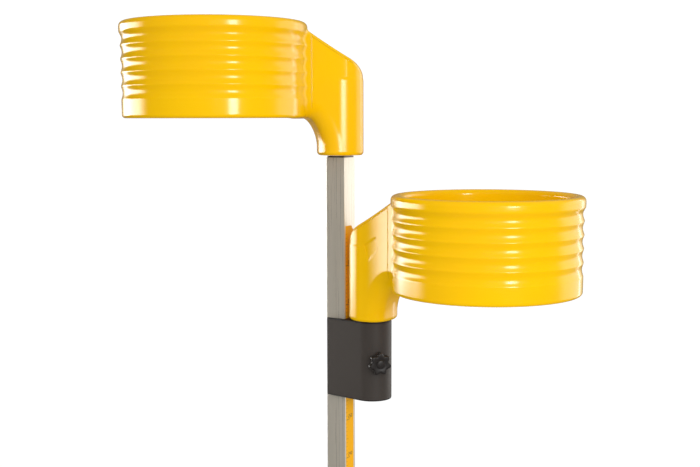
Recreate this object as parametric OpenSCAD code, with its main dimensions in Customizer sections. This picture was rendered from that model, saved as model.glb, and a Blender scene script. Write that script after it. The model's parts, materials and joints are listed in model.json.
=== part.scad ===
// Free-standing korfball post: a square mast on a heavy base, a basket that turns on its
// top, and a second basket on a carriage that slides along the mast and clamps at any height.
// The origin is on the floor at the mast's axis. +X is the carriage side, +Z is up.

/* [Mast] */
// Outside width of the square mast
mast_w = 53; // [44:1:64]
// Wall of the mast
mast_wall = 3; // [2:0.5:5]
// Outside corner radius of the mast
mast_corner = 1.5; // [0.5:0.5:3]
// Height of the upper basket's rim above the floor
rim_z = 3500; // [3300:10:4200]

/* [Basket] */
// Radius of the opening that the ball falls through
ring_in_r = 201; // [160:1:245]
// Thickness of the double wall between the opening and the rim's outside
ring_t = 27; // [25:1:34]
// Height of the ring
ring_h = 231; // [190:1:280]
// Radius of the rounded rim at the top, outside and inside
rim_round = 12; // [6:1:13]
// Radius of the rounded edge at the bottom
foot_round = 8; // [4:1:10]
// How much the plain bottom band is set in from the rim
band_inset = 4.5; // [2:0.5:6]
// How much the highest ridge is set in from the rim
ridge_inset = 2.5; // [1.5:0.5:5]
// Number of grooves round the ring
groove_count = 5; // [3:1:7]
// Height of the plain band above the grooves
top_band = 25.2; // [20:0.2:40]
// Height of the plain band below the grooves
low_band = 43.8; // [25:0.2:60]
// Depth of the highest groove, below the ridges
groove_depth_top = 4.5; // [2:0.5:6]
// Depth of the lowest groove, below the ridges
groove_depth_low = 3.5; // [2:0.5:6]
// Wall of the hollow moulding
basket_wall = 3.5; // [2.5:0.5:4.5]

/* [Neck and socket] */
// Distance from the socket's axis to the ring's outside
neck_l = 90.5; // [80:0.5:140]
// Distance from the socket's hole to its outside, all round
socket_t = 27; // [20:1:34]
// How far the socket reaches below the ring's bottom edge
socket_drop = 93.5; // [80:0.5:140]
// Radius of the hole moulded in the socket
socket_bore_r = 30; // [25:0.5:36]
// Depth of the hole moulded in the socket
socket_bore_depth = 155; // [120:1:170]
// Radius of the socket's rounded bottom edge
socket_round = 9; // [4:1:12]
// How far the neck's top edge meets the ring below its rim
neck_below_rim = 26; // [15:1:60]
// Slope of the neck's top edge, in degrees
neck_slope = 29.5; // [20:0.5:35]
// How much each side of the neck flares out from the socket to the ring
neck_flare = 28; // [10:1:36]
// Radius of the neck's rounded back corner
neck_corner_r = 32; // [10:1:40]
// Width of the arch under the neck
arch_w = 37; // [20:1:45]
// Radius of the neck's rounded lower side edges
under_round = 42; // [20:1:50]
// Height above the socket's bottom where the arch under the neck starts
arch_low = 20.5; // [10:0.5:60]
// Depth of the shallow panel pressed into the neck's right side
panel_depth = 2; // [1:0.5:2.5]
// Width and height of that panel
panel_size = 36; // [20:1:44]

/* [Upper basket pivot] */
// Direction that the upper basket's arm points in at rest, in degrees from +X
upper_turn = -134.2; // [-180:0.1:180]
// Width of the shoulder round the pivot, inside the mast's outline
pivot_shoulder = 6.5; // [5:0.5:9]
// Room left above the pivot in the socket's hole
pivot_end_gap = 15; // [5:1:40]
// How far the pivot's square flange is set in from the mast's faces
pivot_inset = 1.5; // [0.5:0.5:3]
// Thickness of the pivot's square flange
pivot_flange_t = 3.8; // [2:0.2:6]
// Depth of the plug inside the mast
plug_depth = 90; // [60:1:140]
// Thickness of the nylon washer under the upper socket
top_washer_t = 2; // [1:0.5:4]

/* [Carriage] */
// Gap between the lower rim and the bottom of the upper socket at rest
basket_gap = 87.5; // [20:0.5:600]
// Gap that is left there when the carriage is at its upper stop
basket_stop_gap = 6.5; // [4:0.5:15]
// Height of the carriage
carriage_h = 200; // [160:1:240]
// Distance from the swivel's bore to the outside of the round end
nose_t = 19.2; // [15:0.2:26]
// Gap between the mast's face and the back of the lower socket
neck_gap = 8.5; // [5:0.5:20]
// How far the carriage's sides stand out from the mast at its narrow end
carriage_side = 4.5; // [4:0.5:8]
// How far the narrow end stops short of the mast's back face
carriage_short = 3.5; // [1:0.5:10]
// Wall of the carriage's extruded shell
carriage_wall = 4; // [3:0.5:6]
// Thickness of the end caps
cap_t = 3; // [2:0.5:5]
// How far the carriage can go down from rest
travel_down = 1100; // [300:10:1300]
// Direction that the lower basket's arm points in at rest, in degrees from +X
lower_turn = -2.5; // [-20:0.5:20]

/* [Guides] */
// Thickness of the plastic glides that line the channel
glide_t = 1.2; // [0.8:0.1:2]
// Running gap between the glides and the mast
glide_gap = 0.3; // [0.2:0.05:0.6]
// Height of each glide
glide_h = 45; // [20:1:60]
// Thickness of the keepers that reach behind the mast
keeper_t = 3.5; // [2.5:0.5:5]
// Height of the gap between the two keepers
keeper_space = 72; // [50:1:90]
// Distance from the keepers to the carriage's ends
keeper_edge = 12; // [6:1:20]
// Gap between the keepers and the mast's back face
keeper_gap = 0.4; // [0.3:0.05:1]

/* [Swivel] */
// Wall of the steel tube that the lower basket turns on
tube_wall = 4; // [2:0.5:6]
// Thickness of the nylon washer under the lower socket
swivel_washer_t = 2.5; // [1:0.5:5]
// Direction of the swivel clamp's screw, in degrees from +X
swivel_clamp_turn = -44.4; // [-80:0.1:-20]

/* [Clamps] */
// Radius of a clamp screw
screw_r = 5; // [4:0.5:6]
// Thread advance for one turn of a clamp screw
screw_pitch = 1.5; // [1:0.25:2]
// Turns between clamped and free
clamp_turns = 3; // [1:1:4]
// Wall of the threaded inserts
insert_wall = 3; // [2:0.5:4]
// Length of the pressure pads
pad_t = 5; // [4:0.5:7]
// Outside radius of a star knob
knob_r = 29; // [24:0.5:34]
// Depth of the star knob's lobes
knob_lobe = 3.2; // [1:0.2:5]
// Number of lobes on a star knob
knob_lobes = 7; // [5:1:8]
// Thickness of a star knob
knob_t = 17; // [12:1:24]
// Length of the knob's collar
collar_h = 9; // [7:1:16]

/* [Height scale] */
// Distance from the height scale to the mast's edges
scale_margin = 7.5; // [5:0.5:12]
// Thickness of the height scale
scale_t = 0.3; // [0.2:0.1:0.5]
// How far the scale is set off from the middle of the face
scale_offset = -1.8; // [-2:0.1:2]
// Distance from the mast's top to the top of the scale
scale_drop = 172.7; // [60:0.1:400]
// Length of the scale
scale_l = 1600; // [400:10:2300]

/* [Base] */
// Side of the square base plate
plate_w = 800; // [600:10:1000]
// Thickness of the base plate
plate_t = 12; // [10:1:25]
// Corner radius of the base plate
plate_corner = 60; // [20:5:120]
// Thickness of the rubber mat under the plate
mat_t = 3; // [2:0.5:6]
// How far the mat is set in from the plate's edge
mat_inset = 5; // [2:1:15]
// Height of the sleeve that holds the mast
sleeve_h = 300; // [200:10:400]
// Wall of the sleeve
sleeve_wall = 5; // [4:0.5:8]
// How far the sleeve's square flange reaches out from the sleeve
flange_reach = 68.2; // [60:0.2:110]
// Thickness of the sleeve's flange
flange_t = 10; // [8:1:16]
// Distance from the gussets' ends to the flange's edge
gusset_margin = 10; // [4:1:20]
// Height of the gussets
gusset_h = 150; // [80:5:150]
// Radius of the bolts and screws of the base
bolt_r = 6; // [5:0.5:8]

/* [Wheels] */
// Radius of a transport wheel
wheel_r = 50; // [40:1:60]
// Width of a wheel's tyre
wheel_w = 25; // [18:1:36]
// Radius of a wheel's hub
hub_r = 35; // [25:1:38]
// Half the distance between the two wheel brackets
wheel_track = 300; // [200:5:340]
// Clearance between the wheels and the floor
wheel_lift = 6; // [3:1:12]
// Gap between the wheels and the plate's edge
wheel_gap = 7.4; // [4:0.2:20]

/* [Hidden] */
$fn = 96;

// Small working values
eps = 0.01;           // cuts run this far past a face
run_gap = 0.05;       // radial clearance of a running fit
seat_gap = 0.05;      // clearance of a piece seated in another
pad_gap = 0.3;        // gap between a released pad or a moving face and its neighbour
edge_step = 9;        // angle between the points of a rounded edge, in degrees

// Basket
ring_r = ring_in_r + ring_t;
rim_edge = min(rim_round, ring_t / 2 - 1);
socket_r = socket_bore_r + socket_t;
arm_l = neck_l + ring_r;                    // from the socket's axis to the ring's axis
groove_pitch = (ring_h - top_band - low_band) / groove_count;
groove_low_z = low_band + groove_pitch / 2;
socket_h = socket_drop + ring_h;            // from the socket's bottom to the rim
arch_h = socket_drop - arch_low;
neck_back_h = socket_h - neck_below_rim - (neck_l + socket_r) * tan(neck_slope);
neck_end = neck_l + 0.8 * ring_t;           // inside the ring's wall

// Levels of the base and the mast
plate_z = mat_t;
deck_z = plate_z + plate_t;
upper_z = rim_z - socket_h;                 // bottom of the upper socket
mast_top_z = upper_z - top_washer_t - pivot_flange_t;
mast_in_w = mast_w - 2 * mast_wall;
pivot_r = mast_w / 2 - pivot_shoulder;
pivot_h = socket_bore_depth - pivot_end_gap;
pivot_flange_w = mast_w - 2 * pivot_inset;
scale_w = mast_w - 2 * scale_margin;
scale_top_z = mast_top_z - scale_drop;

// Carriage
carriage_z = upper_z - basket_gap - socket_h - swivel_washer_t - carriage_h;
travel_up = basket_gap - basket_stop_gap;
carriage_half = mast_w / 2 + carriage_side;
nose_r = socket_bore_r + nose_t;
nose_x = mast_w / 2 + neck_gap + socket_r;
carriage_back = -mast_w / 2 + carriage_short;
carriage_top_z = carriage_z + carriage_h;
lower_z = carriage_top_z + swivel_washer_t; // bottom of the lower socket
channel_half = mast_w / 2 + glide_gap + glide_t;
channel_front = mast_w / 2 + scale_t + glide_gap + glide_t;
tube_r = socket_bore_r - seat_gap;
nose_bore_r = tube_r + run_gap;
clamp_z = carriage_z + carriage_h / 2;
clamp_free = screw_pitch * clamp_turns;     // how far a clamp opens

// Tangent from the narrow end's corner to the round end
function tangent_turn(r, half, back) =
    let (dx = back - nose_x, d = sqrt(dx * dx + half * half))
    atan2(half, dx) - acos(r / d);
wall_turn = tangent_turn(nose_r, carriage_half, carriage_back);
wall_slope = wall_turn - 90;                // lean of the side walls, in degrees
function wall_y(x) = carriage_half + (x - carriage_back) * tan(wall_slope);

// Clamp screws: distances along the screw from the axis of what they press on
insert_r = screw_r + insert_wall;
pad_r = screw_r - 0.5;
pad_stub_r = screw_r / 2;
pad_stub_l = pad_t - 2;
height_insert_out = wall_y(0) + insert_r * tan(wall_slope) + 10;

// Mast sleeve
sleeve_in = mast_w + 0.6;
sleeve_w = sleeve_in + 2 * sleeve_wall;
flange_w = sleeve_w + 2 * flange_reach;
gusset_l = flange_reach - gusset_margin;
flange_bolt = flange_w / 2 - 3 * bolt_r;
bolt_head_r = bolt_r * 1.7;
bolt_head_h = bolt_r * 1.3;
washer_r = bolt_r * 2;
washer_t = 2.5;
lock_levels = [deck_z + sleeve_h - 40, deck_z + sleeve_h - 110];

// Wheels
axle_z = wheel_r + wheel_lift;
wheel_out = sqrt(wheel_r * wheel_r - pow(axle_z - deck_z, 2)) + wheel_gap;
axle_x = -plate_w / 2 - wheel_out;
bracket_t = 8;
hub_w = wheel_w + 2;
side_gap = 1;
hub_mid = bracket_t / 2 + side_gap + hub_w / 2;

// ---- shapes shared by several pieces ----

// Block with round upright edges, centred on the axis, standing on z = 0
module rounded_block(w, d, h, r) {
    translate([-w / 2 + r, -d / 2, 0]) cube([w - 2 * r, d, h]);
    translate([-w / 2, -d / 2 + r, 0]) cube([w, d - 2 * r, h]);
    for (x = [-1, 1], y = [-1, 1])
        translate([x * (w / 2 - r), y * (d / 2 - r), 0]) cylinder(h = h, r = r);
}

// Centred square block standing on z = 0
module square_block(w, h) {
    translate([-w / 2, -w / 2, 0]) cube([w, w, h]);
}

// Hexagon head, standing on z = 0
module hex_head(r, h) {
    cylinder(h = h, r = r, $fn = 6);
}

// Turns +Z to point along the given direction in the floor plane
module along(turn) {
    rotate([0, 0, turn]) rotate([0, 90, 0]) children();
}

// ---- basket ----

// Set-in of the ring's outside below the rim radius, at height z
groove_top_z = groove_low_z + (groove_count - 1) * groove_pitch;
function mix(a, b, t) = a + (b - a) * min(1, max(0, t));
function smooth(t) = let (u = min(1, max(0, t))) u * u * (3 - 2 * u);
function base_inset(z) =
    z > groove_top_z ? ridge_inset * (1 - smooth((z - groove_top_z) / (0.7 * groove_pitch)))
    : mix(band_inset, ridge_inset, z / groove_top_z);
function groove_wave(z) =
    let (u = (z - groove_low_z) / groove_pitch)
    u < -0.5 || u > groove_count - 0.5 ? 0 : pow(0.5 + 0.5 * cos(360 * u), 0.6);
function groove_depth(z) =
    mix(groove_depth_low, groove_depth_top, (z - groove_low_z) / (groove_top_z - groove_low_z));
function ring_out(z) = ring_r - base_inset(z) - groove_wave(z) * groove_depth(z);

// Section of the ring, shrunk by a wall thickness; x is the radius, y the height
function arc_points(cx, cy, r, from, to) =
    [for (i = [0 : round(abs(to - from) / edge_step)])
        let (a = from + (to - from) * i / round(abs(to - from) / edge_step))
        [cx + r * cos(a), cy + r * sin(a)]];
function ring_section(shrink) =
    let (rt = rim_edge - shrink, rb = foot_round - shrink,
         top = ring_h - shrink, low = shrink, inner = ring_in_r + shrink,
         z0 = foot_round, z1 = ring_h - rim_edge, steps = 64)
    concat(
        arc_points(ring_out(z0) - foot_round, z0, rb, -90, 0),
        [for (i = [1 : steps - 1]) let (z = z0 + (z1 - z0) * i / steps) [ring_out(z) - shrink, z]],
        arc_points(ring_r - rim_edge, z1, rt, 0, 90),
        arc_points(ring_in_r + rim_edge, z1, rt, 90, 180),
        arc_points(ring_in_r + foot_round, z0, rb, 180, 270));

module ring_solid(shrink) {
    translate([arm_l, 0, socket_drop])
        rotate_extrude($fn = 120) polygon(ring_section(shrink));
}

// Side view of the neck and socket, shrunk by a wall; x runs along the arm, y is the height
function neck_top(s) = neck_back_h + (s + socket_r) * tan(neck_slope);
function neck_side(shrink) =
    let (back = -socket_r + shrink, r = neck_corner_r - shrink,
         drop = shrink / cos(neck_slope),
         half = (90 - neck_slope) / 2,
         corner_x = -socket_r + neck_corner_r,
         corner_z = neck_back_h - neck_corner_r * tan(half),
         front = socket_r - 2 - shrink)
    concat(
        [[neck_end, neck_top(neck_end) - drop]],
        arc_points(corner_x, corner_z, r, 90 + neck_slope, 180),
        [[back, shrink], [front, shrink], [front, socket_drop - arch_h]],
        [for (i = [1 : 11]) let (t = i / 12)
            [front + arch_w * (1 - pow(1 - pow(t, 1.7), 1 / 1.7)),
             socket_drop - arch_h + (arch_h + shrink) * t]],
        [[front + arch_w, socket_drop + shrink], [neck_end, socket_drop + shrink]]);

// Half the neck's width at distance s from the socket's axis
function neck_half(s) = socket_r + neck_flare * pow(s / neck_end, 1.6);

// The neck's flared sides seen from above, each shrunk by its own amount
module neck_plan(left, right) {
    steps = 10;
    stations = [for (i = [0 : steps]) neck_end * i / steps];
    linear_extrude(height = socket_h)
        polygon(concat([for (s = stations) [s, neck_half(s) - left]],
            [for (i = [steps : -1 : 0]) [stations[i], right - neck_half(stations[i])]]));
}

// Cross-section of the neck: a narrow web under a body with rounded lower edges
neck_web = 20;
function neck_section(shrink) =
    let (half = socket_r + neck_flare + 1, z0 = socket_drop)
    concat([[neck_web - shrink, 0], [neck_web - shrink, z0 + shrink]],
        arc_points(half - under_round, z0 + under_round, under_round - shrink, -90, 0),
        [[half - shrink, socket_h]]);

module neck_body(shrink) {
    side = neck_section(shrink);
    rotate([90, 0, 90]) linear_extrude(height = neck_end)
        polygon(concat(side, [for (i = [len(side) - 1 : -1 : 0]) [-side[i][0], side[i][1]]]));
}

module neck_solid(shrink, panel = 0) {
    intersection() {
        rotate([90, 0, 0])
            linear_extrude(height = 2 * (socket_r + neck_flare) + 10, center = true)
                polygon(neck_side(shrink));
        union() {
            socket_column(shrink);
            intersection() {
                neck_plan(shrink, shrink + panel);
                neck_body(shrink);
            }
        }
    }
}

// Round column of the socket with its bottom edge rounded
module socket_column(shrink) {
    r = socket_r - shrink;
    edge = socket_round - shrink;
    rotate_extrude($fn = 96)
        polygon(concat([[0, shrink]],
            arc_points(r - edge, shrink + edge, edge, -90, 0),
            [[r, socket_h], [0, socket_h]]));
}

// Shallow four-sided panel on the right side of the neck
module neck_panel() {
    x0 = 12;
    z0 = socket_drop + 100;
    rise = tan(neck_slope);
    difference() {
        rotate([90, 0, 0]) linear_extrude(height = socket_r + neck_flare + 5)
            polygon([[x0, z0], [x0 + panel_size, z0 + panel_size * rise],
                [x0 + 1.22 * panel_size, z0 + panel_size * (rise - 0.85)],
                [x0 + 0.3 * panel_size, z0 - 1.1 * panel_size]]);
        neck_plan(0, panel_depth);
    }
}

// The hollow moulding: ring, neck and socket in one piece, socket axis on the origin
module basket() {
    cap = basket_wall;
    difference() {
        union() {
            ring_solid(0);
            neck_solid(0);
        }
        difference() {
            union() {
                ring_solid(basket_wall);
                neck_solid(basket_wall, panel_depth);
            }
            cylinder(h = socket_bore_depth + cap, r = socket_bore_r + basket_wall);
            translate([arm_l, 0, 0]) cylinder(h = socket_h, r = ring_in_r + basket_wall, $fn = 120);
        }
        translate([0, 0, -1]) cylinder(h = socket_bore_depth + 1, r = socket_bore_r);
        translate([arm_l, 0, -1]) cylinder(h = socket_h + 2, r = ring_in_r, $fn = 120);
        neck_panel();
    }
}

module place_upper() {
    translate([0, 0, upper_z]) rotate([0, 0, upper_turn]) children();
}

module place_lower() {
    translate([nose_x, 0, lower_z]) rotate([0, 0, lower_turn]) children();
}

// ---- base ----

module base_mat() {
    color([0.12, 0.12, 0.13])
        rounded_block(plate_w - 2 * mat_inset, plate_w - 2 * mat_inset, mat_t, plate_corner - mat_inset);
}

module base_plate() {
    color([0.25, 0.25, 0.26])
        translate([0, 0, plate_z]) difference() {
            rounded_block(plate_w, plate_w, plate_t, plate_corner);
            for (x = [-1, 1], y = [-1, 1])
                translate([x * flange_bolt, y * flange_bolt, -1]) cylinder(h = plate_t + 2, r = bolt_r);
        }
}

module mast_sleeve() {
    color([0.25, 0.25, 0.26])
        translate([0, 0, deck_z]) difference() {
            union() {
                rounded_block(flange_w, flange_w, flange_t, 15);
                rounded_block(sleeve_w, sleeve_w, sleeve_h, 4);
                for (turn = [0 : 90 : 270]) rotate([0, 0, turn]) sleeve_gusset();
            }
            translate([0, 0, -1]) square_block(sleeve_in, sleeve_h + 2);
            for (x = [-1, 1], y = [-1, 1])
                translate([x * flange_bolt, y * flange_bolt, -1])
                    cylinder(h = flange_t + 2, r = bolt_r + seat_gap);
            for (level = lock_levels)
                translate([0, 0, level - deck_z]) along(90) cylinder(h = sleeve_w, r = bolt_r + seat_gap);
        }
}

module sleeve_gusset() {
    translate([sleeve_w / 2 - 1, 0, flange_t - 1]) rotate([90, 0, 0])
        linear_extrude(height = 8, center = true)
            polygon([[0, 0], [gusset_l, 0], [gusset_l, 8], [8, gusset_h], [0, gusset_h]]);
}

module sleeve_bolts() {
    color([0.65, 0.65, 0.67])
        for (x = [-1, 1], y = [-1, 1])
            translate([x * flange_bolt, y * flange_bolt, deck_z + flange_t + washer_t]) {
                translate([0, 0, -plate_t - flange_t - washer_t])
                    cylinder(h = plate_t + flange_t + washer_t + 1, r = bolt_r);
                hex_head(bolt_head_r, bolt_head_h);
            }
}

module sleeve_washers() {
    color([0.65, 0.65, 0.67])
        for (x = [-1, 1], y = [-1, 1])
            translate([x * flange_bolt, y * flange_bolt, deck_z + flange_t]) difference() {
                cylinder(h = washer_t, r = washer_r);
                translate([0, 0, -1]) cylinder(h = washer_t + 2, r = bolt_r + seat_gap);
            }
}

module mast_lock_screws() {
    color([0.65, 0.65, 0.67])
        for (level = lock_levels)
            translate([0, 0, level]) along(90) {
                translate([0, 0, mast_w / 2]) cylinder(h = sleeve_wall + 4, r = bolt_r);
                translate([0, 0, sleeve_w / 2]) hex_head(bolt_head_r, bolt_head_h);
            }
}

module wheel_brackets() {
    color([0.25, 0.25, 0.26])
        for (side = [-1, 1])
            translate([0, side * wheel_track, 0]) difference() {
                union() {
                    translate([axle_x, 0, axle_z]) rotate([90, 0, 0])
                        cylinder(h = bracket_t, r = 18, center = true);
                    rotate([90, 0, 0]) linear_extrude(height = bracket_t, center = true)
                        polygon([[axle_x, axle_z + 18], [axle_x - 18, axle_z], [axle_x, axle_z - 18],
                            [-plate_w / 2 + 1, deck_z], [-plate_w / 2 + 70, deck_z],
                            [-plate_w / 2 + 70, deck_z + 12]]);
                    translate([-plate_w / 2 + 40, 0, deck_z + 3]) cube([60, 30, 6], center = true);
                }
                translate([axle_x, 0, axle_z]) rotate([90, 0, 0])
                    cylinder(h = bracket_t + 2, r = bolt_r + seat_gap, center = true);
            }
}

// Runs out along +Y on the left and -Y on the right, with z = 0 at the bracket's middle
module place_wheel(side) {
    translate([axle_x, side * wheel_track, axle_z]) rotate([-90 * side, 0, 0]) children();
}

module wheel_axles() {
    color([0.7, 0.7, 0.72])
        for (side = [-1, 1]) place_wheel(side) {
            translate([0, 0, -bracket_t / 2])
                cylinder(h = bracket_t + 2 * side_gap + hub_w + bolt_r, r = bolt_r);
            translate([0, 0, -bracket_t / 2 - bolt_head_h]) hex_head(bolt_head_r, bolt_head_h);
        }
}

module wheel_nuts() {
    color([0.7, 0.7, 0.72])
        for (side = [-1, 1]) place_wheel(side)
            translate([0, 0, bracket_t / 2 + 2 * side_gap + hub_w]) difference() {
                hex_head(bolt_head_r, bolt_r);
                translate([0, 0, -1]) cylinder(h = bolt_r + 2, r = bolt_r + seat_gap);
            }
}

module wheel_hub(side) {
    color([0.2, 0.2, 0.21])
        place_wheel(side) translate([0, 0, hub_mid]) difference() {
            union() {
                cylinder(h = wheel_w - 6, r = hub_r, center = true);
                cylinder(h = hub_w, r = 14, center = true);
            }
            cylinder(h = hub_w + 2, r = bolt_r + run_gap, center = true);
            for (turn = [0 : 60 : 300]) rotate([0, 0, turn])
                translate([23, 0, 0]) cylinder(h = hub_w, r = 5.5, center = true);
        }
}

module wheel_tyre(side) {
    color([0.1, 0.1, 0.1])
        place_wheel(side) translate([0, 0, hub_mid]) rotate_extrude()
            polygon([[hub_r, -wheel_w / 2 + 2], [wheel_r - 5, -wheel_w / 2],
                [wheel_r - 1, -wheel_w / 2 + 3], [wheel_r, -wheel_w / 4], [wheel_r, wheel_w / 4],
                [wheel_r - 1, wheel_w / 2 - 3], [wheel_r - 5, wheel_w / 2], [hub_r, wheel_w / 2 - 2]]);
}

// ---- mast ----

plug_levels = [mast_top_z - 25, mast_top_z - plug_depth + 25];
plug_screw_r = 3;
stop_r = 5;
stop_levels = [carriage_z - travel_down - stop_r, carriage_top_z + travel_up + stop_r];

module mast() {
    color([0.62, 0.62, 0.61])
        difference() {
            translate([0, 0, deck_z]) rounded_block(mast_w, mast_w, mast_top_z - deck_z, mast_corner);
            translate([0, 0, deck_z - 1]) square_block(mast_in_w, mast_top_z - deck_z + 2);
            for (level = plug_levels)
                translate([0, 0, level]) along(90) cylinder(h = mast_w, r = plug_screw_r + seat_gap);
            for (level = stop_levels)
                translate([0, 0, level]) along(90) cylinder(h = mast_w, r = stop_r / 2 + seat_gap);
        }
}

module height_scale() {
    color([0.95, 0.68, 0.05])
        translate([mast_w / 2, scale_offset - scale_w / 2, scale_top_z - scale_l])
            cube([scale_t, scale_w, scale_l]);
}

module top_pivot() {
    color([0.2, 0.18, 0.17])
        translate([0, 0, mast_top_z]) difference() {
            union() {
                translate([0, 0, -plug_depth]) square_block(mast_in_w - 2 * seat_gap, plug_depth + 1);
                rounded_block(pivot_flange_w, pivot_flange_w, pivot_flange_t, 3);
                cylinder(h = pivot_flange_t + top_washer_t + pivot_h, r = pivot_r);
            }
            for (level = plug_levels)
                translate([0, 0, level - mast_top_z]) along(90)
                    cylinder(h = mast_w, r = plug_screw_r + seat_gap);
            translate([0, 0, -plug_depth - 1])
                cylinder(h = plug_depth + pivot_h, r = pivot_r - 7);
        }
}

module plug_screws() {
    color([0.6, 0.6, 0.62])
        for (level = plug_levels)
            translate([0, 0, level]) along(90) {
                translate([0, 0, pivot_r - 5]) cylinder(h = mast_w / 2 - pivot_r + 6, r = plug_screw_r);
                translate([0, 0, mast_w / 2]) cylinder(h = 2.5, r = 2 * plug_screw_r);
            }
}

module top_washer() {
    color([0.9, 0.9, 0.88])
        translate([0, 0, upper_z - top_washer_t]) difference() {
            cylinder(h = top_washer_t, r = pivot_flange_w / 2);
            translate([0, 0, -1]) cylinder(h = top_washer_t + 2, r = pivot_r + run_gap);
        }
}

module travel_stops() {
    color([0.15, 0.15, 0.16])
        for (level = stop_levels)
            translate([0, 0, level]) along(90) {
                translate([0, 0, mast_w / 2 - mast_wall - 2])
                    cylinder(h = mast_wall + 3, r = stop_r / 2);
                translate([0, 0, mast_w / 2]) cylinder(h = 6, r = stop_r);
            }
}

// ---- upper basket ----

module upper_basket() {
    color([1, 0.78, 0.02]) place_upper() basket();
}

module upper_bush() {
    color([0.85, 0.85, 0.83])
        place_upper() difference() {
            cylinder(h = socket_bore_depth - 2, r = socket_bore_r - seat_gap);
            translate([0, 0, -1]) cylinder(h = socket_bore_depth, r = pivot_r + run_gap);
        }
}

// ---- carriage ----

// Plan of the carriage, shrunk by a wall: narrow end, leaning walls and round end
module carriage_plan(shrink) {
    r = nose_r - shrink;
    half = carriage_half - shrink;
    back = carriage_back;
    turn = tangent_turn(r, half, back);
    polygon([[back, half], [back, -half],
        [nose_x + r * cos(turn), -r * sin(turn)], [nose_x, 0],
        [nose_x + r * cos(turn), r * sin(turn)]]);
    translate([nose_x, 0]) circle(r = r, $fn = 128);
}

module channel_plan(half, front) {
    translate([-mast_w, -half]) square([mast_w + front, 2 * half]);
}

module carriage_body() {
    color([0.3, 0.28, 0.27])
        difference() {
            translate([0, 0, carriage_z + cap_t]) linear_extrude(height = carriage_h - 2 * cap_t)
                difference() {
                    carriage_plan(0);
                    channel_plan(channel_half, channel_front);
                    translate([nose_x, 0]) circle(r = nose_bore_r);
                    difference() {
                        carriage_plan(carriage_wall);
                        channel_plan(channel_half + carriage_wall, channel_front + carriage_wall);
                        translate([nose_x, 0]) circle(r = nose_bore_r + carriage_wall);
                        clamp_boss_plan();
                    }
                }
            swivel_hole(insert_r);
            height_hole(insert_r);
            keeper_holes();
        }
}

// Solid web between the bore and the round end, where the swivel clamp's insert sits
module clamp_boss_plan() {
    translate([nose_x, 0]) rotate(swivel_clamp_turn)
        translate([nose_bore_r, -insert_r - 3]) square([nose_r - nose_bore_r - 1, 2 * insert_r + 6]);
}

module carriage_cap(z) {
    color([0.12, 0.12, 0.12])
        translate([0, 0, z]) linear_extrude(height = cap_t) difference() {
            carriage_plan(0.4);
            channel_plan(mast_w / 2 + glide_gap + 0.4, mast_w / 2 + scale_t + glide_gap + 0.4);
            translate([nose_x, 0]) circle(r = nose_bore_r + 0.3);
        }
}

module glide(z) {
    color([0.88, 0.88, 0.86])
        translate([0, 0, z]) linear_extrude(height = glide_h) difference() {
            intersection() {
                channel_plan(channel_half - seat_gap, channel_front - seat_gap);
                translate([carriage_back + 1, -mast_w]) square([2 * mast_w, 2 * mast_w]);
            }
            channel_plan(mast_w / 2 + glide_gap, mast_w / 2 + scale_t + glide_gap);
        }
}

glide_low_z = carriage_z + cap_t;
glide_high_z = carriage_top_z - cap_t - glide_h;
keeper_h = (carriage_h - keeper_space) / 2 - keeper_edge;
keeper_levels = [carriage_z + keeper_edge, carriage_top_z - keeper_edge - keeper_h];
keeper_in = -mast_w / 2 - keeper_gap;
keeper_out = keeper_in - keeper_t;
keeper_end = 24;
keeper_reach = -mast_w / 2 + 8;
keeper_screw_r = 2.5;
keeper_screw_x = [-8, 12];

// Keepers reach round the far side of the mast and hold the carriage to its back face
module rear_keepers() {
    color([0.2, 0.19, 0.18])
        for (level = keeper_levels)
            difference() {
                translate([0, 0, level]) linear_extrude(height = keeper_h)
                    polygon([[keeper_out, keeper_reach], [keeper_in, keeper_reach],
                        [keeper_in, wall_y(keeper_in)], [keeper_end, wall_y(keeper_end)],
                        [keeper_end - keeper_t * sin(wall_slope), wall_y(keeper_end) + keeper_t * cos(wall_slope)],
                        [keeper_out, wall_y(keeper_out) + keeper_t / cos(wall_slope)]]);
                keeper_holes();
            }
}

// Places a shape on the carriage's far wall at each keeper screw, with z = 0 on its surface
module at_keeper_screws() {
    for (level = keeper_levels, x = keeper_screw_x)
        translate([x, wall_y(x), level + keeper_h / 2]) rotate([0, 0, wall_slope])
            rotate([-90, 0, 0]) children();
}

module keeper_holes() {
    at_keeper_screws() translate([0, 0, -20]) cylinder(h = 40, r = keeper_screw_r + seat_gap);
}

module keeper_screws() {
    color([0.55, 0.55, 0.56])
        difference() {
            at_keeper_screws() {
                translate([0, 0, -7]) cylinder(h = 8 + keeper_t, r = keeper_screw_r);
                translate([0, 0, keeper_t]) cylinder(h = 2.6, r = 2 * keeper_screw_r);
            }
            translate([0, 0, carriage_z - 1]) linear_extrude(height = carriage_h + 2)
                channel_plan(channel_half, channel_front);
        }
}

// ---- lower basket and its swivel ----

module swivel_washer() {
    color([0.1, 0.1, 0.1])
        translate([nose_x, 0, carriage_top_z]) difference() {
            cylinder(h = swivel_washer_t, r = nose_r - 3);
            translate([0, 0, -1]) cylinder(h = swivel_washer_t + 2, r = nose_bore_r + 0.3);
        }
}

module swivel_tube() {
    color([0.7, 0.7, 0.72])
        translate([nose_x, 0, carriage_z + 2 * cap_t]) difference() {
            h = lower_z - carriage_z - 2 * cap_t + socket_bore_depth - 2;
            cylinder(h = h, r = tube_r);
            translate([0, 0, -1]) cylinder(h = h + 2, r = tube_r - tube_wall);
        }
}

module lower_basket() {
    color([1, 0.78, 0.02]) place_lower() basket();
}

// ---- clamps ----

// Swivel clamp: +Z runs outwards from the swivel axis
module place_swivel_clamp() {
    translate([nose_x, 0, clamp_z]) along(swivel_clamp_turn) children();
}

// Height clamp: +Z runs outwards from the mast's axis, on the far side
module place_height_clamp() {
    translate([0, 0, clamp_z]) along(90) children();
}

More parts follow.
